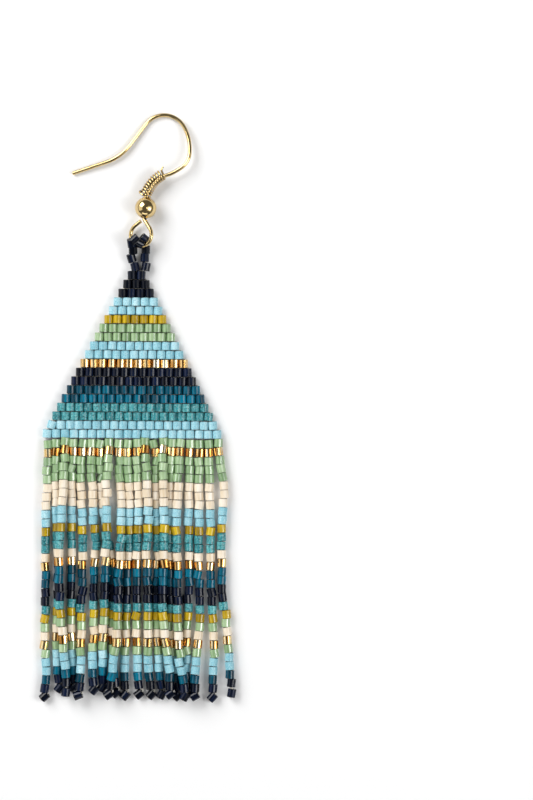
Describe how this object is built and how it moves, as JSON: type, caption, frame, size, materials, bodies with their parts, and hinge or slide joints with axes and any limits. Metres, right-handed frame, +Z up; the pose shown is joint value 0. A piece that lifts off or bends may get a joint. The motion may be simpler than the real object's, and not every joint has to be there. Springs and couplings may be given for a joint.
{
  "type": "beaded fringe earring",
  "caption": "Fringe earring: a stitched triangle of cylinder seed beads with beaded strands below and a bead loop on a fish-hook ear wire with a ball and coil.",
  "frame": {"origin": "middle of the earring's outline, on the surface that it lies on", "axes": "+Y from the fringe to the ear hook, +Z up from the surface, +X to the right seen from above"},
  "size_m": [0.0354, 0.106, 0.0038],
  "materials": {
    "gold_plate": "polished gold plate",
    "navy_glass": "semi-gloss opaque glass seed beads",
    "panel_glass": "opaque glass seed beads in bands of colour",
    "fringe_glass": "opaque and metallic glass seed beads in bands of colour"
  },
  "bodies": {
    "root": {"ear_hook": "gold_plate", "coil_wrap": "gold_plate", "ball_bead": "gold_plate", "bail_loop": "navy_glass", "bead_panel": "panel_glass", "strand_01": "fringe_glass", "strand_02": "fringe_glass", "strand_03": "fringe_glass", "strand_04": "fringe_glass", "strand_05": "fringe_glass", "strand_06": "fringe_glass", "strand_07": "fringe_glass", "strand_08": "fringe_glass", "strand_09": "fringe_glass", "strand_10": "fringe_glass", "strand_11": "fringe_glass", "strand_12": "fringe_glass", "strand_13": "fringe_glass", "strand_14": "fringe_glass", "strand_15": "fringe_glass", "strand_16": "fringe_glass", "strand_17": "fringe_glass", "strand_18": "fringe_glass", "strand_19": "fringe_glass", "strand_20": "fringe_glass"}
  },
  "joints": []
}
